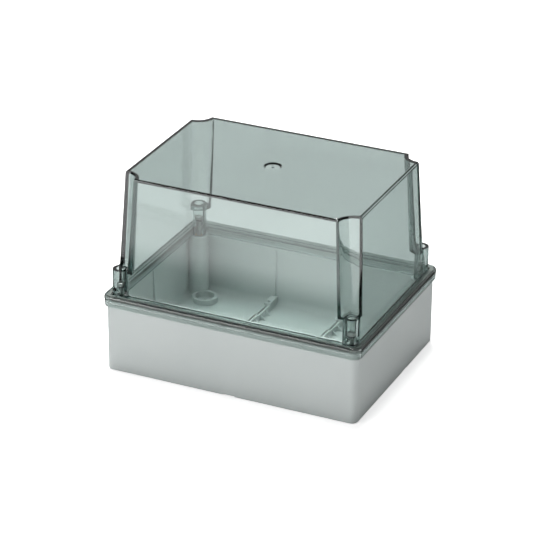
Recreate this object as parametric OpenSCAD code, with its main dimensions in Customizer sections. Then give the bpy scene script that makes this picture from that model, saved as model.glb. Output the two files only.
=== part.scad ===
// Deep clear-lid junction box: a grey base, a clear lid with four corner
// screw towers, its gasket, and four captive screws with their seals,
// retaining clips and brass post inserts.

/* [Base] */
// Outside length of the base along X
base_length = 194.2; // [170:0.2:260]
// Outside width of the base along Y
base_width = 144.2; // [130:0.2:200]
// Height of the base up to the shelf under the lid's lip
base_height = 54.7; // [44:0.1:90]
// Thickness of the base's side walls
base_wall = 2.1; // [1.8:0.1:3]
// Outside radius of the base's upright corners
corner_radius = 5.1; // [4.5:0.1:8]
// Radius of the outer edge under the base
bottom_edge = 1; // [0.6:0.1:1.5]
// Thickness of the floor
floor_thickness = 2; // [1.6:0.1:3]
// Height of the foot rim that the base stands on
foot_height = 1; // [0.6:0.1:1.6]
// Width of the foot rim
foot_width = 4; // [3:0.5:8]
// Radius of the fillet between floor and walls
floor_fillet = 5; // [2:0.5:6]
// Length of the drain notches in the foot rim
notch_length = 9; // [5:0.5:16]
// Distance of the side notches behind the middle of the base
notch_offset = 18; // [0:1:24]

/* [Rim] */
// How far the rim bead stands out past the base wall
rim_overhang = 2; // [1.5:0.1:3]
// Height of the rim bead
rim_height = 4.2; // [3:0.1:7]
// Radius of the bead's lower edge
rim_edge = 1.2; // [0.6:0.1:1.4]
// Radius of the fillet between the bead and the wall below it
rim_fillet = 0.8; // [0.4:0.1:1]
// Width of the sealing tongue on top of the wall
tongue_width = 2; // [1.4:0.1:2.4]
// Height of the sealing tongue above the shelf
tongue_height = 1.2; // [0.8:0.1:2]
// Open gap between the base's shelf and the lid's lip
split_gap = 0.3; // [0.2:0.05:0.6]
// Squeezed thickness of the gasket
gasket_thickness = 1.2; // [0.8:0.1:2]

/* [Lid] */
// Height of the closed box
overall_height = 148.4; // [115:0.1:190]
// Thickness of the lid's walls and top
lid_wall = 2.5; // [2:0.1:3.2]
// Draft of the lid's walls in degrees
lid_draft = 2.6; // [1:0.1:4]
// Thickness of the flange between the lid's walls and its lip
flange_thickness = 2.2; // [1.8:0.1:3]
// Thickness of the rib that holds the gasket inside the tongue
gasket_rib = 1; // [0.8:0.1:1.4]
// How far the lid's lip stands out past the base wall
lip_overhang = 2.3; // [1.8:0.1:3.4]
// Radius of the lip's upper edge
flange_edge = 2.1; // [1:0.1:2.4]
// Radius of the lip's lower edge
lip_edge = 1.4; // [0.6:0.1:1.8]
// Radius of the fillet between the flange and the lid's walls
foot_fillet = 1; // [0.5:0.1:1.6]
// Distance from the base's end face in to the lid's end wall
lid_inset_x = 3.3; // [3:0.1:5]
// Distance from the base's long face in to the lid's long wall
lid_inset_y = 5.3; // [3.6:0.1:8]
// Depth of the skirt and towers below the lid's lip
skirt_depth = 3; // [2:0.1:5]
// Radius of the edges round the lid's top
top_edge = 1.5; // [0.8:0.1:2]
// Radius of the dimple at the moulding gate
gate_radius = 6.6; // [4:0.1:8]
// Depth of the dimple at the moulding gate
gate_depth = 1; // [0.5:0.1:1.2]

/* [Screw towers] */
// Distance from the base's end face in to the tower axes
tower_inset_x = 8.3; // [8.3:0.1:11]
// Distance from the base's long face in to the tower axes
tower_inset_y = 9.4; // [8.4:0.1:12]
// Outside radius of the towers
tower_radius = 5.9; // [5.2:0.1:5.9]
// Height of the tower mouths above the flange
tower_height = 18.3; // [14:0.1:26]
// Radius of the driver bore in each tower
driver_bore = 3.3; // [3.2:0.1:3.6]
// Height of the screw's seat above the flange
seat_height = 4.3; // [3:0.1:7]
// Thickness of the web that the screw head sits on
seat_web = 3; // [2:0.1:4]
// Radius of the shank hole in that web
shank_hole = 2.2; // [2:0.05:2.4]
// Radius of the corner scallops at the tower mouths
scallop_radius = 7.6; // [7:0.1:8.4]
// Draft of the corner scallops in degrees
scallop_draft = 3.15; // [2:0.05:4]

/* [Screws] */
// Radius of the screw heads
head_radius = 3; // [2.6:0.05:3]
// Height of the screw heads
head_height = 2.4; // [1.8:0.1:3]
// Width of the driver slot
slot_width = 1; // [0.8:0.1:1.2]
// Depth of the driver slot
slot_depth = 1.1; // [0.8:0.1:1.4]
// Radius of the screw shanks
shank_radius = 1.75; // [1.5:0.05:1.75]
// Length of the screw shanks below the heads
shank_length = 23; // [18:0.5:30]
// Section radius of the seal under each head
seal_section = 0.55; // [0.4:0.05:0.6]
// Outside radius of the retaining clips
clip_radius = 2.9; // [2.5:0.05:2.9]
// Thickness of the retaining clips
clip_thickness = 0.8; // [0.6:0.1:1.2]
// How far a loosened screw can rise before its clip holds it
screw_rise = 3.6; // [2:0.1:4.4]

/* [Posts and inserts] */
// Radius of the screw posts in the base's corners
post_radius = 7.5; // [6.5:0.1:8]
// Outside radius of the brass inserts
insert_radius = 2.9; // [2.5:0.05:3.4]
// Length of the brass inserts
insert_length = 9; // [6:0.5:12]
// Running clearance round the screw in its insert
thread_clearance = 0.05; // [0.02:0.01:0.08]
// Clearance round the insert in its post
insert_clearance = 0.03; // [0.02:0.01:0.06]

/* [Wall fixing] */
// Distance from the base's end face in to the fixing holes
fixing_inset_x = 18.8; // [18:0.1:34]
// Distance from the base's long face in to the fixing holes
fixing_inset_y = 20.5; // [20:0.1:34]
// Radius of the fixing holes
fixing_hole = 2.5; // [1.8:0.1:3]
// Outside radius of the ring bosses round the fixing holes
ring_radius = 9.5; // [8:0.1:11]
// Wall thickness of the ring bosses
ring_wall = 2.2; // [1.5:0.1:3]
// Height of the ring bosses above the floor
ring_height = 4.3; // [2:0.1:8]

/* [Floor ribs] */
// Distance of each floor rib from the middle of the base
rib_x = 29; // [20:0.5:40]
// Thickness of each of a rib's two walls
rib_wall = 1.2; // [0.8:0.1:2]
// Width of the groove between a rib's two walls
rib_groove = 1.5; // [1:0.1:2]
// Height of a rib's end stretches above the floor
rib_height = 5; // [3:0.1:6.4]
// Length of a rib's taller middle stretch
rib_middle_length = 72; // [40:1:90]
// Height of the screw blocks and middle stretches above the floor
block_height = 6.5; // [5:0.1:9]
// Width of the screw blocks at the rib ends
block_width = 5; // [4:0.1:7]
// Length of the screw blocks at the rib ends
block_length = 14; // [10:0.5:18]
// Distance of the pilot holes from a block's inner end
pilot_setback = 3.6; // [2.6:0.1:6]
// Radius of the pilot holes
pilot_radius = 1.4; // [1:0.1:1.7]
// Distance between the gussets along a rib
gusset_pitch = 9; // [7:0.5:14]
// Length of each gusset's foot
gusset_foot = 4.5; // [3:0.1:6]
// Height of the gussets above the floor
gusset_height = 4.3; // [2.5:0.1:4.6]
// Thickness of the gussets
gusset_thickness = 1; // [0.8:0.1:1.5]

/* [Wall ribs] */
// Thickness of the upright wall ribs
wall_rib = 1.6; // [1:0.1:2.5]
// Depth of the long walls' ribs at the floor
long_rib_depth = 2; // [1.2:0.1:3]
// Depth of the end walls' ribs at the floor
end_rib_depth = 3.2; // [1.5:0.1:4]
// Depth of all wall ribs at their upper ends
rib_top_depth = 0.7; // [0.4:0.1:1]
// Distance of the wall ribs' upper ends below the shelf
rib_top_drop = 7; // [5:0.5:14]

/* [Hidden] */
$fn = 64;
eps = 0.01;
cut = 1;
arc_steps = 6;
clear = 0.3;
step = 0.5;

corner_names = ["front_left", "front_right", "rear_right", "rear_left"];
corner_signs = [[-1, -1], [1, -1], [1, 1], [-1, 1]];

// Heights above the surface that the box stands on
floor_z = foot_height + floor_thickness;
tongue_z = base_height + tongue_height;
lip_z = base_height + split_gap;
skirt_z = lip_z - skirt_depth;
flange_under_z = tongue_z + gasket_thickness;
flange_z = flange_under_z + flange_thickness;
mouth_z = flange_z + tower_height;
seat_z = flange_z + seat_height;
seat_under_z = seat_z - seat_web;

// Half sizes in plan
tower_x = base_length / 2 - tower_inset_x;
tower_y = base_width / 2 - tower_inset_y;
lid_half_x = base_length / 2 - lid_inset_x;
lid_half_y = base_width / 2 - lid_inset_y;
fixing_x = base_length / 2 - fixing_inset_x;
fixing_y = base_width / 2 - fixing_inset_y;
inner_x = base_length / 2 - base_wall;
inner_y = base_width / 2 - base_wall;

// Screw stack, from the seat upwards and downwards
head_z = seat_z + 2 * seal_section;
tip_z = head_z - shank_length;
clip_z = seat_under_z - screw_rise - clip_thickness;
insert_z = skirt_z - insert_length;

rib_half = rib_groove / 2 + rib_wall;
block_inner_y = inner_y - block_length;
pilot_y = block_inner_y + pilot_setback;

// A rectangle with round corners, centred on the origin
module round_rect(length, width, radius) {
    square([length - 2 * radius, width], center = true);
    square([length, width - 2 * radius], center = true);
    for (sx = [-1, 1], sy = [-1, 1])
        translate([sx * (length / 2 - radius), sy * (width / 2 - radius)]) circle(radius);
}

// A round-cornered block between two heights
module round_block(length, width, radius, low, high) {
    translate([0, 0, low]) linear_extrude(high - low) round_rect(length, width, radius);
}

// Sweeps a profile round the base's outline: X is the distance out from the
// outside of the wall, Y is the height
module around_base() {
    straight_x = base_length - 2 * corner_radius;
    straight_y = base_width - 2 * corner_radius;
    for (side = [0, 1]) {
        rotate(180 * side) translate([base_length / 2, 0, 0])
            rotate([90, 0, 0]) linear_extrude(straight_y, center = true) children();
        rotate(90 + 180 * side) translate([base_width / 2, 0, 0])
            rotate([90, 0, 0]) linear_extrude(straight_x, center = true) children();
    }
    for (i = [0:3])
        translate([corner_signs[i][0] * straight_x / 2, corner_signs[i][1] * straight_y / 2, 0])
            rotate(180 + 90 * i) rotate_extrude(angle = 90)
                translate([corner_radius, 0]) children();
}

// Places its children at a corner's tower axis
module at_tower(i) {
    translate([corner_signs[i][0] * tower_x, corner_signs[i][1] * tower_y, 0]) children();
}

// ---- Base

// The wall's section: a round lower edge, the rim bead with its round lower
// edge and fillet, and the sealing tongue
module wall_section() {
    rim_z = base_height - rim_height;
    edge_at = [rim_overhang - rim_edge, rim_z + rim_edge];
    translate([-base_wall, bottom_edge]) square([base_wall, base_height - bottom_edge]);
    translate([-base_wall, 0]) square([base_wall - bottom_edge, bottom_edge + step]);
    translate([-bottom_edge, bottom_edge]) circle(bottom_edge);
    translate([-step, rim_z]) square([edge_at[0] + step, rim_height]);
    translate([-step, edge_at[1]]) square([rim_overhang + step, rim_height - rim_edge]);
    translate(edge_at) circle(rim_edge);
    difference() {
        translate([-step, rim_z - rim_fillet]) square([rim_fillet + step, rim_fillet + eps]);
        translate([rim_fillet, rim_z - rim_fillet]) circle(rim_fillet);
    }
    translate([-base_wall, base_height - step]) square([tongue_width, tongue_height + step]);
}

// The floor with its foot rim, reaching half way into the walls
module floor_plate() {
    difference() {
        round_block(base_length - base_wall, base_width - base_wall,
                    corner_radius - base_wall / 2, 0, floor_z);
        foot_hollow();
    }
}

// The hollow under the floor, inside the foot rim
module foot_hollow() {
    difference() {
        round_block(base_length - 2 * foot_width, base_width - 2 * foot_width,
                    corner_radius - base_wall, -cut, foot_height);
        for (sx = [-1, 1], sy = [-1, 1])
            translate([sx * fixing_x, sy * fixing_y, -cut])
                cylinder(h = foot_height + 2 * cut, r = ring_radius);
    }
}

module floor_fillets() {
    for (side = [0, 1]) {
        rotate(180 * side) fillet_strip(inner_x, 2 * inner_y);
        rotate(90 + 180 * side) fillet_strip(inner_y, 2 * inner_x);
    }
}

// One fillet along a wall that stands at the given distance
module fillet_strip(wall_at, length) {
    translate([wall_at - floor_fillet, 0, floor_z]) rotate([90, 0, 0])
        linear_extrude(length, center = true) difference() {
            translate([0, -step]) square([floor_fillet + step, floor_fillet + step]);
            translate([0, floor_fillet]) circle(floor_fillet);
            translate([-floor_fillet, floor_fillet]) square(2 * floor_fillet);
        }
}

module posts() {
    for (i = [0:3]) at_tower(i)
        translate([0, 0, foot_height]) cylinder(h = skirt_z - foot_height, r = post_radius);
}

module post_bores() {
    for (i = [0:3]) at_tower(i) {
        translate([0, 0, insert_z]) cylinder(h = insert_length + cut, r = insert_radius + insert_clearance);
        translate([0, 0, tip_z - 2]) cylinder(h = skirt_z - tip_z, r = shank_radius + clear);
    }
}

module ring_bosses() {
    for (sx = [-1, 1], sy = [-1, 1]) translate([sx * fixing_x, sy * fixing_y, foot_height])
        difference() {
            cylinder(h = floor_thickness + ring_height, r = ring_radius);
            translate([0, 0, floor_thickness]) cylinder(h = ring_height + cut, r = ring_radius - ring_wall);
        }
}

module fixing_holes() {
    for (sx = [-1, 1], sy = [-1, 1])
        translate([sx * fixing_x, sy * fixing_y, -cut]) cylinder(h = floor_z + 2 * cut, r = fixing_hole);
}

// A double-walled rib along Y, with screw blocks at both ends and gussets
module floor_rib() {
    translate([-rib_half, -inner_y, floor_z - step])
        cube([2 * rib_half, 2 * inner_y, rib_height + step]);
    translate([-rib_half, -rib_middle_length / 2, floor_z])
        cube([2 * rib_half, rib_middle_length, block_height]);
    for (sy = [-1, 1]) translate([0, sy * (inner_y - block_length / 2), floor_z + block_height / 2])
        cube([block_width, block_length + eps, block_height], center = true);
    gussets = floor((block_inner_y - gusset_thickness) / gusset_pitch + 0.5);
    for (k = [1:gussets], sy = [-1, 1], sx = [0, 1])
        translate([0, sy * gusset_pitch * (k - 0.5), floor_z]) mirror([sx, 0, 0]) gusset();
}

module gusset() {
    rotate([90, 0, 0]) linear_extrude(gusset_thickness, center = true) polygon([
        [rib_groove / 2 + step, -step],
        [rib_half + gusset_foot, -step],
        [rib_half + gusset_foot, 0],
        [rib_half, gusset_height],
        [rib_groove / 2 + step, gusset_height]
    ]);
}

module rib_grooves() {
    for (sx = [-1, 1]) translate([sx * rib_x, 0, floor_z + block_height])
        cube([rib_groove, 2 * block_inner_y, 2 * block_height], center = true);
}

module pilot_holes() {
    for (sx = [-1, 1], sy = [-1, 1]) translate([sx * rib_x, sy * pilot_y, floor_z])
        cylinder(h = block_height + cut, r = pilot_radius);
}

// An upright rib that gets deeper towards the floor, on a wall facing -X
module wall_rib(wall_at, depth) {
    translate([wall_at, 0, 0]) rotate([90, 0, 0]) linear_extrude(wall_rib, center = true) polygon([
        [step, floor_z - step],
        [-depth, floor_z - step],
        [-rib_top_depth, base_height - rib_top_drop],
        [step, base_height - rib_top_drop]
    ]);
}

module wall_ribs() {
    for (side = [0, 1]) {
        rotate(180 * side) wall_rib(inner_x, end_rib_depth);
        for (sx = [-1, 1]) translate([sx * rib_x, 0, 0])
            rotate(90 + 180 * side) wall_rib(inner_y, long_rib_depth);
    }
}

module drain_notches() {
    for (sy = [-1, 1]) translate([0, sy * base_width / 2, 0])
        cube([notch_length, 2 * foot_width + cut, 2 * foot_height], center = true);
    for (sx = [-1, 1]) translate([sx * base_length / 2, notch_offset, 0])
        cube([2 * foot_width + cut, notch_length, 2 * foot_height], center = true);
}

module base() {
    color([0.74, 0.77, 0.76]) difference() {
        union() {
            around_base() wall_section();
            floor_plate();
            floor_fillets();
            posts();
            ring_bosses();
            for (sx = [-1, 1]) translate([sx * rib_x, 0, 0]) floor_rib();
            wall_ribs();
        }
        post_bores();
        fixing_holes();
        rib_grooves();
        pilot_holes();
        drain_notches();
    }
}

// ---- Lid

// Outline of the lid across one axis: upright skirt, drafted wall and a top
// with round edges. "inset" moves it inwards by a wall thickness
function lid_outline(half, inset) =
    let (
        top = overall_height - inset,
        low = skirt_z - (inset > 0 ? cut : 0),
        edge = max(top_edge - inset, 0.3),
        foot = half - inset,
        centre_z = top - edge,
        centre_x = foot - (centre_z - flange_z) * tan(lid_draft) - edge / cos(lid_draft),
        arc = [for (k = [0:arc_steps])
            let (a = lid_draft + (90 - lid_draft) * k / arc_steps)
            [centre_x + edge * cos(a), centre_z + edge * sin(a)]],
        right = concat([[foot, low], [foot, flange_z]], arc)
    )
    concat(right, [for (k = [len(right) - 1:-1:0]) [-right[k][0], right[k][1]]]);

// The lid's drafted box, solid
module lid_block(inset) {
    intersection() {
        rotate([90, 0, 0]) linear_extrude(2 * lid_half_y, center = true)
            polygon(lid_outline(lid_half_x, inset));
        rotate([90, 0, 90]) linear_extrude(2 * lid_half_x, center = true)
            polygon(lid_outline(lid_half_y, inset));
    }
}

// A drafted column over each tower, from the given height to above the lid
module scallops(low, extra) {
    high = overall_height + cut;
    for (i = [0:3]) at_tower(i) translate([0, 0, low]) cylinder(
        h = high - low,
        r1 = scallop_radius + (low - mouth_z) * tan(scallop_draft) + extra,
        r2 = scallop_radius + (high - mouth_z) * tan(scallop_draft) + extra);
}

module towers() {
    for (i = [0:3]) at_tower(i)
        translate([0, 0, skirt_z]) cylinder(h = mouth_z - skirt_z, r = tower_radius);
}

module tower_bores() {
    for (i = [0:3]) at_tower(i) {
        translate([0, 0, seat_z]) cylinder(h = mouth_z - seat_z + cut, r = driver_bore);
        translate([0, 0, skirt_z]) cylinder(h = seat_z - skirt_z + cut, r = shank_hole);
        translate([0, 0, skirt_z - cut]) cylinder(h = seat_under_z - skirt_z + cut, r = driver_bore);
    }
}

// The flange's section: a lip with round edges that hangs over the base's rim
// and a rib that holds the gasket on its inner side
module flange_section() {
    lip_inside = -base_wall + tongue_width + clear;
    rib_outside = -base_wall - clear;
    edge_at = [lip_overhang - flange_edge, flange_z - flange_edge];
    low_at = [lip_overhang - lip_edge, lip_z + lip_edge];
    translate([lip_inside, lip_z]) square([low_at[0] - lip_inside, edge_at[1] - lip_z]);
    translate([lip_inside, low_at[1]]) square([lip_overhang - lip_inside, edge_at[1] - low_at[1]]);
    translate([rib_outside - gasket_rib, flange_under_z])
        square([edge_at[0] - rib_outside + gasket_rib, flange_thickness]);
    translate([rib_outside - gasket_rib, tongue_z]) square([gasket_rib, gasket_thickness + step]);
    intersection() {
        translate(edge_at) circle(flange_edge);
        translate(edge_at) square(flange_edge);
    }
    intersection() {
        translate(low_at) circle(lip_edge);
        translate([low_at[0], lip_z]) square(lip_edge);
    }
}

module flange() {
    around_base() flange_section();
    round_block(base_length - 2 * base_wall, base_width - 2 * base_wall, corner_radius - base_wall,
                flange_under_z, flange_z);
}

// A small fillet where the lid's walls meet the flange
module foot_fillets() {
    for (side = [0, 1]) {
        rotate(180 * side) foot_strip(lid_half_x, 2 * lid_half_y);
        rotate(90 + 180 * side) foot_strip(lid_half_y, 2 * lid_half_x);
    }
}

module foot_strip(wall_at, length) {
    translate([wall_at, 0, flange_z]) rotate([90, 0, 0])
        linear_extrude(length, center = true) difference() {
            translate([-step, -step]) square([foot_fillet + step, foot_fillet + step]);
            translate([foot_fillet, foot_fillet]) circle(foot_fillet);
        }
}

module gate_dimple() {
    translate([0, 0, overall_height - gate_depth]) difference() {
        cylinder(h = gate_depth + eps, r1 = gate_radius - 1.5 * gate_depth, r2 = gate_radius);
        cylinder(h = gate_depth, r = gate_depth);
    }
}

module lid_hollow() {
    difference() {
        lid_block(lid_wall);
        scallops(mouth_z - lid_wall, lid_wall);
        towers();
    }
}

module lid() {
    color([0.62, 0.70, 0.67, 0.45]) difference() {
        union() {
            difference() {
                lid_block(0);
                scallops(mouth_z, 0);
            }
            flange();
            foot_fillets();
            towers();
        }
        lid_hollow();
        tower_bores();
        gate_dimple();
    }
}

// ---- Gasket and screw stack

module lid_gasket() {
    color([0.16, 0.17, 0.17]) around_base()
        translate([-base_wall - clear, tongue_z])
            square([tongue_width + 2 * clear, gasket_thickness]);
}

module lid_screw() {
    bevel = 0.5;
    color([0.72, 0.73, 0.72]) difference() {
        union() {
            translate([0, 0, head_z]) cylinder(h = head_height - bevel, r = head_radius);
            translate([0, 0, head_z + head_height - bevel])
                cylinder(h = bevel, r1 = head_radius, r2 = head_radius - bevel);
            translate([0, 0, tip_z + bevel]) cylinder(h = shank_length - bevel, r = shank_radius);
            translate([0, 0, tip_z]) cylinder(h = bevel, r1 = shank_radius - bevel, r2 = shank_radius);
        }
        translate([0, 0, head_z + head_height])
            cube([3 * head_radius, slot_width, 2 * slot_depth], center = true);
    }
}

module screw_seal() {
    color([0.10, 0.10, 0.11]) translate([0, 0, seat_z + seal_section])
        rotate_extrude() translate([shank_radius + seal_section, 0]) circle(seal_section);
}

module retaining_clip() {
    color([0.80, 0.81, 0.80]) translate([0, 0, clip_z]) difference() {
        cylinder(h = clip_thickness, r = clip_radius);
        translate([0, 0, -cut]) cylinder(h = clip_thickness + 2 * cut, r = shank_radius);
        translate([0, -clip_radius, 0]) cube([shank_radius, 2 * clip_radius, 3 * clip_thickness], center = true);
    }
}

module post_insert() {
    band = insert_length / 3;
    color([0.80, 0.66, 0.36]) translate([0, 0, insert_z]) difference() {
        cylinder(h = insert_length, r = insert_radius);
        translate([0, 0, -cut]) cylinder(h = insert_length + 2 * cut, r = shank_radius + thread_clearance);
        translate([0, 0, band]) difference() {
            cylinder(h = band, r = insert_radius + cut);
            translate([0, 0, -cut]) cylinder(h = band + 2 * cut, r = insert_radius - clear);
        }
    }
}

base();
lid();
lid_gasket();
for (i = [0:3]) {
    at_tower(i) lid_screw();
    at_tower(i) screw_seal();
    at_tower(i) retaining_clip();
    at_tower(i) post_insert();
}
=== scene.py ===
import math

import bmesh
import bpy
from mathutils import Matrix, Vector


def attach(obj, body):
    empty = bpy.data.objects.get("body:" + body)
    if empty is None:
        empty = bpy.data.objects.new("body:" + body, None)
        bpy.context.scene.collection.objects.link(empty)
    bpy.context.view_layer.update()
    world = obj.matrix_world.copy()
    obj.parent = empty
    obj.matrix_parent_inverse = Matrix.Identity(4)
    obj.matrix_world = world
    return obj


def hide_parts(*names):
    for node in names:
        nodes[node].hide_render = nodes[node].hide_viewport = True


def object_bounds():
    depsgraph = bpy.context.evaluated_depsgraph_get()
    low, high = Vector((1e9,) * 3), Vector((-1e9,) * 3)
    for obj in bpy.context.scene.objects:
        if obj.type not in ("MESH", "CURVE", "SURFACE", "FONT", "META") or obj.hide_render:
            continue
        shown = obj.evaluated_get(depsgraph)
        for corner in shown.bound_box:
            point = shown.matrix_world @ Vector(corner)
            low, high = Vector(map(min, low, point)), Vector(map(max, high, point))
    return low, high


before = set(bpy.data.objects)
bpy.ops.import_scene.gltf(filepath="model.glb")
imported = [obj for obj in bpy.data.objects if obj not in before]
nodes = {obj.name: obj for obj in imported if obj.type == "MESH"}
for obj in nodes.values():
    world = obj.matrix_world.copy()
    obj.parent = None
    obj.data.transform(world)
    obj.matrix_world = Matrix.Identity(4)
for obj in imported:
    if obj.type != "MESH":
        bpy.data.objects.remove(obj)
cadBox = [list(corner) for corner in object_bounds()]
corners = ["front_left", "front_right", "rear_right", "rear_left"]
weldDistance = 1e-6  # metres: points of a solid nearer than this are one
print("frame loaded:", len(nodes), "solids")


# a socket that adds, multiplies and so on by adding nodes

class Shade:
    def __init__(self, tree, socket=None):
        self.tree = tree
        self.socket = socket

    def add(self, kind, settings=None, sockets=None, out=0):  # a list feeds a socket that takes many
        node = self.tree.nodes.new(kind)
        for name, value in (settings or {}).items():
            setattr(node, name, value)
        for name, value in (sockets or {}).items():
            for item in value if isinstance(value, list) else [value]:
                if isinstance(item, Shade):
                    self.tree.links.new(item.socket, node.inputs[name])
                else:
                    node.inputs[name].default_value = item
        return Shade(self.tree, node.outputs[out] if len(node.outputs) else None)

    def calc(self, operation, *values, clamp=False):
        settings = {"operation": operation, "use_clamp": clamp}
        return self.add("ShaderNodeMath", settings, dict(enumerate(values)))

    def __add__(self, other):
        return self.calc("ADD", self, other)

    def __radd__(self, other):
        return self.calc("ADD", other, self)

    def __sub__(self, other):
        return self.calc("SUBTRACT", self, other)

    def __rsub__(self, other):
        return self.calc("SUBTRACT", other, self)

    def __mul__(self, other):
        return self.calc("MULTIPLY", self, other)

    def __rmul__(self, other):
        return self.calc("MULTIPLY", other, self)

    def __truediv__(self, other):
        return self.calc("DIVIDE", self, other)

    def __rtruediv__(self, other):
        return self.calc("DIVIDE", other, self)

    def span(self, low, high):  # 0 at low, 1 at high, held at both ends
        return self.calc("DIVIDE", self - low, high - low, clamp=True)

    def mixColour(self, first, second):
        return self.add("ShaderNodeMix", {"data_type": "RGBA"}, {0: self, 6: first, 7: second}, out=2)

    def rays(self, *kinds):
        outputs = self.add("ShaderNodeLightPath").socket.node.outputs
        return [Shade(self.tree, outputs["Is " + kind + " Ray"]) for kind in kinds]


def newMaterial(name):
    material = bpy.data.materials.new(name)
    material.use_nodes = True
    material.node_tree.nodes.clear()
    shade = Shade(material.node_tree)
    return material, shade, shade.add("ShaderNodeTexCoord", out=3)


def noise(shade, coords, size, detail=2.0, roughness=0.5):
    return shade.add("ShaderNodeTexNoise", {}, {
        "Vector": coords, "Scale": 1 / size, "Detail": detail, "Roughness": roughness})


def bumpOf(shade, height):
    return shade.add("ShaderNodeBump", {}, {"Strength": 1.0, "Distance": 1.0, "Height": height})


def closeMaterial(shade, surface, volume=None):
    sockets = {"Surface": surface}
    if volume:
        sockets["Volume"] = volume
    shade.add("ShaderNodeOutputMaterial", {}, sockets)


# grey moulding: fine grain over faint clouds and slow waves, sizes and heights in metres

basePlastic = {
    "light": (0.560, 0.600, 0.592, 1), "dark": (0.535, 0.577, 0.570, 1), "blend": (0.35, 0.65),
    "cloudSize": 0.045, "cloudShare": 0.7, "grainSize": 0.0006, "grainShare": 0.3, "grainHeight": 0.00003,
    "waveSize": 0.020, "waveHeight": 0.00012, "roughness": 0.36, "roughnessSpread": 0.10, "ior": 1.50,
}


def makeBasePlastic(p):
    material, shade, coords = newMaterial("greyMoulding")
    clouds = noise(shade, coords, p["cloudSize"], 3.0)
    grain = noise(shade, coords, p["grainSize"], 3.0, 0.6)
    waves = noise(shade, coords, p["waveSize"], 1.0)
    mottle = (clouds * p["cloudShare"] + grain * p["grainShare"]).span(*p["blend"])
    colour = mottle.mixColour(p["dark"], p["light"])
    bump = bumpOf(shade, grain * p["grainHeight"] + waves * p["waveHeight"])
    roughness = p["roughness"] + clouds * p["roughnessSpread"]
    closeMaterial(shade, shade.add("ShaderNodeBsdfPrincipled", {}, {
        "Base Color": colour, "Roughness": roughness, "Normal": bump, "IOR": p["ior"]}))
    return material


# clear lid: a grey-green tint that deepens along the wall, and lamps that shine through it

clearPlastic = {
    "surface": (0.97, 0.99, 0.98, 1), "tint": (0.215, 0.365, 0.345, 1), "density": 185.0, "ior": 1.585,
    "letThrough": (0.930, 0.893, 0.886, 1),  # what each wall leaves of a lamp's light
    "roughness": 0.010, "smudge": 0.020, "smudgeSize": 0.030, "smudgeBlend": (0.50, 0.75),
    "rippleSize": 0.035, "rippleHeight": 0.00010,
}


def makeClearPlastic(p):
    material, shade, coords = newMaterial("clearLid")
    smudge = noise(shade, coords, p["smudgeSize"], 3.0).span(*p["smudgeBlend"])
    ripple = noise(shade, coords, p["rippleSize"], 0.0)
    bump = bumpOf(shade, ripple * p["rippleHeight"])
    surface = shade.add("ShaderNodeBsdfPrincipled", {}, {
        "Base Color": p["surface"], "Roughness": p["roughness"] + smudge * p["smudge"],
        "Transmission Weight": 1.0, "IOR": p["ior"], "Normal": bump})
    clear = shade.add("ShaderNodeBsdfTransparent", {}, {"Color": p["letThrough"]})
    shadow, = shade.rays("Shadow")
    surface = shade.add("ShaderNodeMixShader", {}, {0: shadow, 1: surface, 2: clear})
    volume = shade.add("ShaderNodeVolumeAbsorption", {}, {"Color": p["tint"], "Density": p["density"]})
    closeMaterial(shade, surface, volume)
    return material


# rubber of the gasket and the ring seals: soft grain under a faint bloom

softRubber = {"blend": (0.35, 0.65), "grainSize": 0.0004, "grainHeight": 0.00002, "bloomSize": 0.006,
              "roughness": 0.62, "roughnessSpread": 0.15}


def makeRubber(name, light, dark, p=softRubber):
    material, shade, coords = newMaterial(name)
    grain = noise(shade, coords, p["grainSize"], 3.0)
    bloom = noise(shade, coords, p["bloomSize"], 2.0)
    bump = bumpOf(shade, grain * p["grainHeight"])
    colour = bloom.span(*p["blend"]).mixColour(dark, light)
    roughness = p["roughness"] + bloom * p["roughnessSpread"]
    closeMaterial(shade, shade.add("ShaderNodeBsdfPrincipled", {}, {
        "Base Color": colour, "Roughness": roughness, "Normal": bump}))
    return material


# turned metal of the screws, clips and inserts: fine rings round Z under faint stains

turnedMetal = {"blend": (0.35, 0.65), "ringSize": 0.0035, "ringStretch": 14.0, "ringHeight": 0.000015,
               "stainSize": 0.0025, "roughnessSpread": 0.14}


def makeTurnedMetal(name, light, dark, roughness, p=turnedMetal):
    material, shade, coords = newMaterial(name)
    stretched = shade.add("ShaderNodeMapping", {}, {"Vector": coords, "Scale": (1.0, 1.0, p["ringStretch"])})
    rings = noise(shade, stretched, p["ringSize"], 3.0, 0.6)
    stain = noise(shade, coords, p["stainSize"], 2.0)
    bump = bumpOf(shade, rings * p["ringHeight"])
    colour = stain.span(*p["blend"]).mixColour(dark, light)
    closeMaterial(shade, shade.add("ShaderNodeBsdfPrincipled", {}, {
        "Base Color": colour, "Metallic": 1.0,
        "Roughness": roughness + rings * p["roughnessSpread"], "Normal": bump}))
    return material


greyMoulding = makeBasePlastic(basePlastic)
clearLid = makeClearPlastic(clearPlastic)
gasketRubber = makeRubber("gasketRubber", (0.48, 0.51, 0.50, 1), (0.43, 0.46, 0.45, 1))
sealRubber = makeRubber("sealRubber", (0.035, 0.036, 0.038, 1), (0.018, 0.018, 0.020, 1))
screwSteel = makeTurnedMetal("screwSteel", (0.46, 0.47, 0.46, 1), (0.34, 0.35, 0.34, 1), 0.24)
springSteel = makeTurnedMetal("springSteel", (0.52, 0.53, 0.54, 1), (0.38, 0.39, 0.40, 1), 0.26)
insertBrass = makeTurnedMetal("insertBrass", (0.80, 0.60, 0.28, 1), (0.66, 0.46, 0.19, 1), 0.24)
print("materials made")


# meshes: small helpers that every piece below uses

def addObject(name, data):
    piece = bpy.data.objects.new(name, data)
    bpy.context.scene.collection.objects.link(piece)
    return piece


def keepMesh(work, mesh):
    work.to_mesh(mesh)
    work.free()
    return mesh


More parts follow.
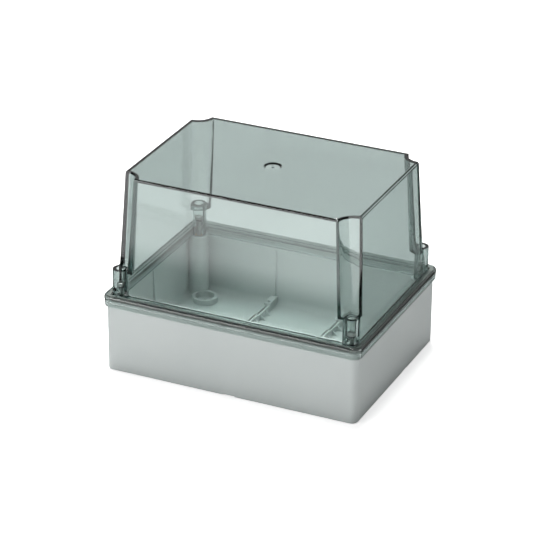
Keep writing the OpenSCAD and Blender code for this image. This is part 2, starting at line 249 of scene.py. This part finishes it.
def openMesh(mesh):
    work = bmesh.new()
    work.from_mesh(mesh)
    return work


def bake(piece):  # modifiers become part of the mesh
    evaluated = piece.evaluated_get(bpy.context.evaluated_depsgraph_get())
    solid = bpy.data.meshes.new_from_object(evaluated)
    piece.modifiers.clear()
    piece.data = solid
    solid.name = piece.name


def roundNormals(mesh, angle):  # smooth faces, with a sharp edge where two meet at more than the angle
    work = openMesh(mesh)
    flat = 3.0  # radians, for an edge whose angle can't be told
    for edge in work.edges:
        if len(edge.link_faces) == 2:
            edge.smooth = edge.calc_face_angle(flat) < math.radians(angle)
    for face in work.faces:
        face.smooth = True
    keepMesh(work, mesh)


def lathe(name, outline, steps, closed=False):  # turns (radius, height) points in mm round Z
    work = bmesh.new()
    rings = []
    for radius, height in outline:
        count = steps if radius else 1
        turns = [math.tau * k / steps for k in range(count)]
        rings.append([work.verts.new((radius * math.cos(turn) / 1000,
                                      radius * math.sin(turn) / 1000,
                                      height / 1000)) for turn in turns])
    for low, high in zip(rings, rings[1:] + ([rings[0]] if closed else [])):
        for k in range(steps):
            ends = [low[k % len(low)], low[(k + 1) % len(low)],
                    high[(k + 1) % len(high)], high[k % len(high)]]
            if len(set(ends)) > 2:  # a ring at radius 0 is one point
                work.faces.new(list(dict.fromkeys(ends)))
    bmesh.ops.recalc_face_normals(work, faces=work.faces)
    return keepMesh(work, bpy.data.meshes.new(name))


# Geometry Nodes: a tree with named inputs, and its result as a plain mesh

def newTree(name, inputs):
    tree = bpy.data.node_groups.new(name, "GeometryNodeTree")
    tree.interface.new_socket("Geometry", in_out="INPUT", socket_type="NodeSocketGeometry")
    tree.interface.new_socket("Geometry", in_out="OUTPUT", socket_type="NodeSocketGeometry")
    for label, kind in inputs.items():
        tree.interface.new_socket(label, in_out="INPUT", socket_type="NodeSocket" + kind)
    source = tree.nodes.new("NodeGroupInput")
    given = {socket.name: Shade(tree, socket) for socket in source.outputs if socket.name}
    return tree, Shade(tree), given


def closeTree(shade, geometry, material):
    real = shade.add("GeometryNodeRealizeInstances", {}, {"Geometry": geometry})
    dressed = shade.add("GeometryNodeSetMaterial", {}, {"Geometry": real, "Material": material})
    shade.add("NodeGroupOutput", {}, {"Geometry": dressed})


def vector(shade, x=0.0, y=0.0, z=0.0):
    return shade.add("ShaderNodeCombineXYZ", {}, {0: x, 1: y, 2: z})


def moved(shade, geometry, by):
    return shade.add("GeometryNodeTransform", {}, {"Geometry": geometry, "Translation": by})


def threadRidge(shade, given, radius):  # a ridge wound round Z, up from the origin
    helix = shade.add("GeometryNodeCurveSpiral", {}, {
        "Resolution": given["Thread Steps"], "Rotations": given["Turns"], "Start Radius": radius,
        "End Radius": radius, "Height": given["Pitch"] * given["Turns"], "Reverse": False})
    helix = shade.add("GeometryNodeSetCurveNormal", {"mode": "Z_UP"}, {"Curve": helix})
    ridge = shade.add("GeometryNodeCurvePrimitiveCircle", {"mode": "RADIUS"}, {
        "Resolution": 4, "Radius": given["Thread Depth"]})
    return shade.add("GeometryNodeCurveToMesh", {}, {
        "Curve": helix, "Profile Curve": ridge, "Fill Caps": True})


def grow(pieceName, mesh, tree, values, body, nodeNames, angle=35.0):
    piece = addObject(pieceName, mesh)
    modifier = piece.modifiers.new(tree.name, "NODES")
    modifier.node_group = tree
    for item in tree.interface.items_tree:
        if item.item_type == "SOCKET" and item.in_out == "INPUT" and item.name in values:
            modifier[item.identifier] = values[item.name]
    bake(piece)
    roundNormals(piece.data, angle)
    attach(piece, body)
    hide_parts(*nodeNames)


# the lip of the lid hangs down over the base's straight walls, with a bead and a groove

lidLip = {  # millimetres, out from the base's walls and up from where the box stands
    "wallHalf": (97.1, 72.1), "wallCorner": 5.1, "cornerSteps": 16,
    "inside": 0.3, "under": 50.4, "beadOut": 2.0, "edge": 1.2, "arcSteps": 6,
    "groove": 0.7, "grooveOut": 2.3, "grooveAt": 54.8, "joinAt": 56.5,
    "baseBeadFrom": 49.5,  # the base's own bead, from here up to the groove, is pressed flat
}


def pastWall(x, y, p):  # the nearest point on the walls' outline for a point that stands out past it
    corner = p["wallCorner"]
    middle = [half - corner for half in p["wallHalf"]]
    over = [max(abs(x) - middle[0], 0), max(abs(y) - middle[1], 0)]
    reach = math.hypot(*over)
    if reach <= corner:
        return x, y
    over = [v * corner / reach for v in over]
    return tuple(math.copysign(m + v, at) if v else at for m, v, at in zip(middle, over, (x, y)))


def straightenWalls(work):
    for vert in work.verts:
        if lidLip["baseBeadFrom"] < vert.co.z * 1000 < lidLip["grooveAt"]:
            x, y = pastWall(vert.co.x * 1000, vert.co.y * 1000, lidLip)
            vert.co.x, vert.co.y = x / 1000, y / 1000
    bmesh.ops.remove_doubles(work, verts=work.verts, dist=weldDistance)
    bmesh.ops.dissolve_degenerate(work, edges=work.edges, dist=weldDistance)


def lipSection(p):  # (out, up) points round the section: under the bead, up its edge, into the groove
    edge, groove, steps = p["edge"], p["groove"], p["arcSteps"]
    shares = [k / steps for k in range(steps + 1)]
    drop = math.acos((p["grooveOut"] - p["beadOut"]) / groove)
    points = [(p["inside"], p["under"])]
    for share in shares:
        turn = math.pi / 2 * share
        points.append((p["beadOut"] - edge + edge * math.sin(turn),
                       p["under"] + edge - edge * math.cos(turn)))
    for share in shares:
        turn = drop * (1 - share)
        points.append((p["grooveOut"] - groove * math.cos(turn),
                       p["grooveAt"] - groove * math.sin(turn)))
    return points + [(p["grooveOut"] - groove, p["joinAt"]), (p["inside"], p["joinAt"])]


def makeLip(p):
    section = lipSection(p)
    work = bmesh.new()
    loops = []
    for quarter, signs in enumerate([(1, 1), (-1, 1), (-1, -1), (1, -1)]):
        centre = [sign * (half - p["wallCorner"]) for sign, half in zip(signs, p["wallHalf"])]
        for k in range(p["cornerSteps"] + 1):
            turn = math.pi / 2 * (quarter + k / p["cornerSteps"])
            loops.append([work.verts.new((
                (centre[0] + (p["wallCorner"] + out) * math.cos(turn)) / 1000,
                (centre[1] + (p["wallCorner"] + out) * math.sin(turn)) / 1000,
                up / 1000)) for out, up in section])
    for first, second in zip(loops, loops[1:] + loops[:1]):
        for k in range(len(section)):
            after = (k + 1) % len(section)
            work.faces.new((first[k], second[k], second[after], first[after]))
    bmesh.ops.recalc_face_normals(work, faces=work.faces)
    return addObject("lip", keepMesh(work, bpy.data.meshes.new("lip")))


# mouldings: a clean copy of a solid, with round normals and small edges

moulding = {  # angles in degrees, the edge in metres
    "flatUnder": 0.6, "sharpOver": 30.0, "bevelOver": 40.0, "bevelSteps": 2, "lidEdge": 0.0005,
}


def cleanCopy(nodeName, pieceName, material, body, bevel=0.0, reshape=None, joined=None, p=moulding):
    mesh = nodes[nodeName].data.copy()
    work = openMesh(mesh)
    bmesh.ops.remove_doubles(work, verts=work.verts, dist=weldDistance)
    if reshape:
        reshape(work)
    piece = addObject(pieceName, keepMesh(work, mesh))
    if joined:
        union = piece.modifiers.new("union", "BOOLEAN")
        union.operation = "UNION"
        union.solver = "EXACT"
        union.object = joined
        bake(piece)
        bpy.data.objects.remove(joined)
    mesh = piece.data
    work = openMesh(mesh)
    flat = math.radians(p["flatUnder"])
    bmesh.ops.dissolve_limit(work, angle_limit=flat, verts=work.verts, edges=work.edges)
    keepMesh(work, mesh)
    roundNormals(mesh, p["sharpOver"])
    mesh.materials.clear()
    mesh.materials.append(material)
    if bevel:
        edges = piece.modifiers.new("edges", "BEVEL")
        edges.width = bevel
        edges.segments = p["bevelSteps"]
        edges.limit_method = "ANGLE"
        edges.angle_limit = math.radians(p["bevelOver"])
        edges.use_clamp_overlap = True
        edges.harden_normals = True
    normals = piece.modifiers.new("normals", "WEIGHTED_NORMAL")
    normals.keep_sharp = True
    bake(piece)
    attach(piece, body)
    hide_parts(nodeName)


cleanCopy("base", "baseShell", greyMoulding, "base", reshape=straightenWalls)
cleanCopy("lid", "lidShell", clearLid, "lid", bevel=moulding["lidEdge"], joined=makeLip(lidLip))
print("mouldings made")


# where a turned solid stands, from the frame

def extent(nodeName, axis):
    places = [vert.co[axis] for vert in nodes[nodeName].data.vertices]
    return min(places), max(places)


def centreOf(nodeName):
    return [sum(extent(nodeName, axis)) / 2 for axis in (0, 1)]


# captive screws: slotted head, plain neck for the clip, thread below

captiveScrew = {  # millimetres, up from the underside of the head
    "headRadius": 3.0, "headHeight": 2.4, "underEdge": 0.12, "slotWidth": 1.0, "slotDepth": 1.1,
    "crown": [(0, 0.6), (0.08, 0.33), (0.28, 0.10), (0.6, 0)],  # in from the rim, down from the top
    "neck": 1.75, "neckEnd": -9.6, "runOut": 0.4, "root": 1.42, "tip": -23.0,
    "point": [(0.62, 0), (0.1, 0.7), (0, 1.1)],  # in from the root, up from the tip
    "pitch": 0.7, "threadDepth": 0.33, "threadFrom": 0.8, "threadStop": 0.4,
    "threadSteps": 20, "steps": 48,  # points in one turn of the thread, and round the body
}


def screwBody(p):
    top, tip, neckEnd, head = p["headHeight"], p["tip"], p["neckEnd"], p["headRadius"]
    outline = [(0, tip)]
    outline += [(p["root"] - inward, tip + up) for inward, up in p["point"]]
    outline += [(p["root"], neckEnd - p["runOut"]), (p["neck"], neckEnd), (p["neck"], 0)]
    outline += [(head - p["underEdge"], 0), (head, p["underEdge"])]
    outline += [(head - inward, top - down) for inward, down in p["crown"]]
    return lathe("screwBody", outline + [(0, top)], p["steps"])


def screwTree():
    tree, shade, given = newTree("threadAndSlot", {
        "Pitch": "Float", "Turns": "Float", "Root": "Float", "Thread Depth": "Float", "Start": "Float",
        "Slot Width": "Float", "Slot Depth": "Float", "Head Top": "Float", "Head Radius": "Float",
        "Thread Steps": "Int", "Place": "Vector", "Material": "Material"})
    # the cutter is longer than the head is wide, and half of it stands above the head
    size = vector(shade, given["Head Radius"] * 3, given["Slot Width"], given["Slot Depth"] * 2)
    cutter = shade.add("GeometryNodeMeshCube", {}, {"Size": size})
    cutter = moved(shade, cutter, vector(shade, z=given["Head Top"]))
    slotted = shade.add("GeometryNodeMeshBoolean", {"operation": "DIFFERENCE", "solver": "EXACT"},
                        {"Mesh 1": given["Geometry"], "Mesh 2": cutter})
    thread = threadRidge(shade, given, given["Root"])
    thread = moved(shade, thread, vector(shade, z=given["Start"]))
    whole = shade.add("GeometryNodeJoinGeometry", {}, {"Geometry": [slotted, thread]})
    closeTree(shade, moved(shade, whole, given["Place"]), given["Material"])
    return tree


def makeScrews(p):
    tree = screwTree()
    threadLength = p["neckEnd"] - p["runOut"] - p["tip"] - p["threadFrom"] - p["threadStop"]
    for corner in corners:
        nodeName = "screw_" + corner
        headUnder = extent(nodeName, 2)[1] - p["headHeight"] / 1000
        grow("screw" + corner.title().replace("_", ""), screwBody(p), tree, {
            "Pitch": p["pitch"] / 1000, "Turns": threadLength / p["pitch"], "Root": p["root"] / 1000,
            "Thread Depth": p["threadDepth"] / 1000, "Start": (p["tip"] + p["threadFrom"]) / 1000,
            "Slot Width": p["slotWidth"] / 1000, "Slot Depth": p["slotDepth"] / 1000,
            "Head Top": p["headHeight"] / 1000, "Head Radius": p["headRadius"] / 1000,
            "Thread Steps": p["threadSteps"],
            "Place": (*centreOf("insert_" + corner), headUnder), "Material": screwSteel},
            nodeName, [nodeName])


# post inserts: two knurled bands with a groove between, threaded bore

postInsert = {  # millimetres, up from the lower end
    "radius": 2.9, "length": 9.0, "bore": 2.08, "boreMouth": 0.25, "chamfer": 0.2,
    "bandLength": 3.0, "grooveDepth": 0.2, "grooveSide": 0.05,
    "knurls": 40, "knurlDepth": 0.16, "knurlRadius": 0.2, "knurlShare": 0.9,  # share of a band's length
    "pitch": 0.7, "threadDepth": 0.24, "threadGap": 0.6, "threadSteps": 16, "steps": 40,
}


def insertBody(p):
    body, length, bore, band = p["radius"] - p["knurlDepth"], p["length"], p["bore"], p["bandLength"]
    mouth, chamfer, groove = p["boreMouth"], p["chamfer"], body - p["grooveDepth"]
    return lathe("insertBody", [
        (bore + mouth, 0), (body - chamfer, 0), (body, chamfer), (body, band),
        (groove, band + p["grooveSide"]), (groove, length - band - p["grooveSide"]),
        (body, length - band), (body, length - chamfer), (body - chamfer, length),
        (bore + mouth, length), (bore, length - mouth), (bore, mouth)], p["steps"], closed=True)


def insertTree():
    tree, shade, given = newTree("knurlsAndThread", {
        "Knurls": "Int", "Ring Radius": "Float", "Knurl Radius": "Float", "Knurl Length": "Float",
        "Low Band": "Float", "High Band": "Float", "Bore": "Float", "Pitch": "Float", "Turns": "Float",
        "Thread Depth": "Float", "Thread Steps": "Int", "Start": "Float", "Length Apart": "Float",
        "Width Apart": "Float", "Height": "Float", "Material": "Material"})
    ring = shade.add("GeometryNodeMeshCircle", {}, {
        "Vertices": given["Knurls"], "Radius": given["Ring Radius"]})
    prism = shade.add("GeometryNodeMeshCylinder", {"fill_type": "NGON"}, {
        "Vertices": 3, "Radius": given["Knurl Radius"], "Depth": given["Knurl Length"]})
    outward = shade.add("FunctionNodeAlignRotationToVector", {"axis": "X", "pivot_axis": "Z"},
                        {"Vector": shade.add("GeometryNodeInputPosition")})
    band = shade.add("GeometryNodeInstanceOnPoints", {}, {
        "Points": ring, "Instance": prism, "Rotation": outward})
    low = moved(shade, band, vector(shade, z=given["Low Band"]))
    high = moved(shade, band, vector(shade, z=given["High Band"]))
    thread = threadRidge(shade, given, given["Bore"])
    thread = moved(shade, thread, vector(shade, z=given["Start"]))
    one = shade.add("GeometryNodeJoinGeometry", {}, {"Geometry": [given["Geometry"], low, high, thread]})
    one = moved(shade, one, vector(shade, z=given["Height"]))
    posts = shade.add("GeometryNodeMeshGrid", {}, {
        "Size X": given["Length Apart"], "Size Y": given["Width Apart"], "Vertices X": 2, "Vertices Y": 2})
    inserts = shade.add("GeometryNodeInstanceOnPoints", {}, {"Points": posts, "Instance": one})
    closeTree(shade, inserts, given["Material"])
    return tree


def makeInserts(p):
    at = [abs(v) for v in centreOf("insert_front_left")]
    grow("postInserts", insertBody(p), insertTree(), {
        "Knurls": p["knurls"], "Ring Radius": (p["radius"] - p["knurlRadius"]) / 1000,
        "Knurl Radius": p["knurlRadius"] / 1000, "Knurl Length": p["bandLength"] * p["knurlShare"] / 1000,
        "Low Band": p["bandLength"] / 2 / 1000, "High Band": (p["length"] - p["bandLength"] / 2) / 1000,
        "Bore": p["bore"] / 1000, "Pitch": p["pitch"] / 1000,
        "Turns": (p["length"] - 2 * p["threadGap"]) / p["pitch"],
        "Thread Depth": p["threadDepth"] / 1000, "Thread Steps": p["threadSteps"],
        "Start": p["threadGap"] / 1000,
        "Length Apart": at[0] * 2, "Width Apart": at[1] * 2, "Height": extent("insert_front_left", 2)[0],
        "Material": insertBrass}, "base", ["insert_" + corner for corner in corners])


makeScrews(captiveScrew)
makeInserts(postInsert)
print("screws and inserts made")


# solids whose shape stays as it is only get their finish

def dress(nodeName, material):
    for slot in nodes[nodeName].material_slots:
        slot.material = material


for corner in corners:
    dress("seal_" + corner, sealRubber)
    dress("clip_" + corner, springSteel)
dress("lid_gasket", gasketRubber)


# studio: pale floor, soft light, long lens; lengths in metres, power in watts

studio = {
    "paperLight": (0.80, 0.80, 0.80, 1), "paperDark": (0.79, 0.79, 0.79, 1), "paperCloud": 0.4,
    "paperBlend": (0.3, 0.7), "floorReach": 6.0, "floorGap": 0.0002,
    "lift": 0.60,  # glow that keeps the floor white to the camera
    "throughLift": 0.06, "throughPaper": 0.80,  # the same glow, and the paper left, seen through the lid
    "mirrored": 0.12,  # the paper left in a reflection
    "frontGlow": 2.5, "frontEdge": (-0.305, -0.262),  # floor before this stretch of Y, in reflections
    "world": 0.17, "ceiling": 0.24, "wallTop": 0.04, "ceilingFrom": 0.55,
    "aimAt": (0, 0, 0.06),
    "key": {"at": (-0.9, -1.4, 0.95), "size": 1.2, "power": 15.2},
    "fill": {"at": (2.4, 0.6, 1.2), "size": 2.4, "power": 7.5},
    "top": {"at": (-0.4, 0.5, 2.5), "size": 0.9, "power": 84.0},
}


def makeFloor(p):
    material, shade, coords = newMaterial("paleFloor")
    camera, glossy, through = shade.rays("Camera", "Glossy", "Transmission")
    clouds = noise(shade, coords, p["paperCloud"], 2.0).span(*p["paperBlend"])
    paper = clouds.mixColour(p["paperDark"], p["paperLight"])
    mirror = glossy * (1 - through)  # a ray through the lid counts as glossy too
    front = 1 - shade.add("ShaderNodeSeparateXYZ", {}, {0: coords}, out=1).span(*p["frontEdge"])
    dimmed = mirror * (1 - p["mirrored"]) + through * (1 - p["throughPaper"])
    paper = dimmed.mixColour(paper, (0, 0, 0, 1))
    matt = shade.add("ShaderNodeBsdfDiffuse", {}, {"Color": paper})
    strength = camera * p["lift"] + through * p["throughLift"] + mirror * front * p["frontGlow"]
    glow = shade.add("ShaderNodeEmission", {}, {"Color": (1, 1, 1, 1), "Strength": strength})
    closeMaterial(shade, shade.add("ShaderNodeAddShader", {}, {0: matt, 1: glow}))
    work = bmesh.new()
    bmesh.ops.create_grid(work, x_segments=1, y_segments=1, size=p["floorReach"])
    mesh = keepMesh(work, bpy.data.meshes.new("floor"))
    mesh.materials.append(material)
    floor = addObject("floor", mesh)
    floor.location.z = cadBox[0][2] - p["floorGap"]


def makeWorld(p):  # white to the camera, pale walls and a dim ceiling in the lid and the metal
    world = bpy.data.worlds.new("studio")
    bpy.context.scene.world = world
    world.use_nodes = True
    world.node_tree.nodes.clear()
    shade = Shade(world.node_tree)
    camera, glossy, through = shade.rays("Camera", "Glossy", "Transmission")
    height = shade.add("ShaderNodeSeparateXYZ", {}, {0: shade.add("ShaderNodeTexCoord")}, out=2)
    room = 1 - height.span(p["wallTop"], p["ceilingFrom"]) * (1 - p["ceiling"])
    bounced = shade.calc("MAXIMUM", glossy, through)
    strength = camera + (1 - camera) * (bounced * room + (1 - bounced) * p["world"])
    shade.add("ShaderNodeOutputWorld", {}, {
        "Surface": shade.add("ShaderNodeBackground", {}, {"Color": (1, 1, 1, 1), "Strength": strength})})


def makeLamp(name, p, aimAt):
    data = bpy.data.lights.new(name, "AREA")
    data.shape = "DISK"
    data.size = p["size"]
    data.energy = p["power"]
    lamp = addObject(name, data)
    lamp.location = p["at"]
    lamp.rotation_euler = (Vector(aimAt) - lamp.location).to_track_quat("-Z", "Y").to_euler()


view = {  # metres, degrees, and millimetres for the lens and its sensor
    "from": (0.7156, -1.5652, 0.9063), "azimuth": 24.62, "elevation": 25.99, "roll": 0.40,
    "focal": 178.52, "sensor": 36, "reach": 50,
}


def makeCamera(p):
    data = bpy.data.cameras.new("view")
    data.lens = p["focal"]
    data.sensor_width = p["sensor"]
    data.clip_end = p["reach"]
    camera = addObject("view", data)
    turn = Matrix.Rotation(math.radians(p["azimuth"]), 4, "Z")
    tilt = Matrix.Rotation(math.radians(90 - p["elevation"]), 4, "X")
    roll = Matrix.Rotation(math.radians(p["roll"]), 4, "Z")
    camera.matrix_world = Matrix.Translation(p["from"]) @ turn @ tilt @ roll
    bpy.context.scene.camera = camera


makeFloor(studio)
makeWorld(studio)
for name in ("key", "fill", "top"):
    makeLamp(name, studio[name], studio["aimAt"])
makeCamera(view)
bpy.context.scene.view_settings.view_transform = "Standard"
print("studio made")
